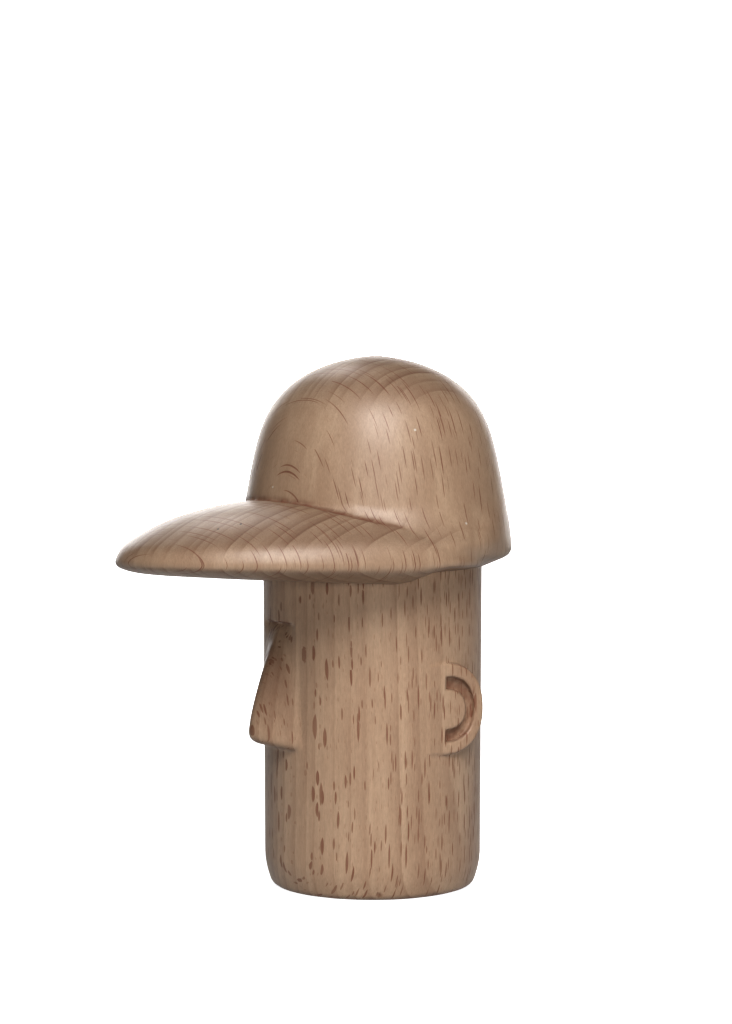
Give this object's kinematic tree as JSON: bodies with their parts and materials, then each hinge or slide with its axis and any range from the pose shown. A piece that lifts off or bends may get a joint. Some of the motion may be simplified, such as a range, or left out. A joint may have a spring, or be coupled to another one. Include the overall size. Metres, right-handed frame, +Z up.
{
  "type": "wooden figure with peaked cap",
  "caption": "Turned wooden figure: round head with wedge nose and flat ears, under a lift-off peaked cap.",
  "frame": {"origin": "centre of the flat base, on the axis of the round head", "axes": "+Z up along the head's axis, the face, nose and visor look along -Y, the figure's left ear is at +X"},
  "size_m": [0.0596, 0.0776, 0.1],
  "materials": {
    "head_wood": "satin oiled beech, quarter-sawn flecks",
    "cap_wood": "satin oiled beech, plain-sawn bands",
    "dowel_wood": "raw beech dowel rod"
  },
  "bodies": {
    "head": {"head": "head_wood"},
    "locating_dowel": {"cap_dowel": "dowel_wood"},
    "cap": {"cap": "cap_wood"}
  },
  "joints": [
    {"name": "cap_lift", "type": "slide", "parent": "head", "child": "locating_dowel", "axis": [0, 0, 1], "range_m": [0, 0.04]},
    {"name": "cap_turn", "type": "hinge", "parent": "locating_dowel", "child": "cap", "pos_m": [0, 0, 0.08], "axis": [0, 0, 1], "continuous": true}
  ]
}
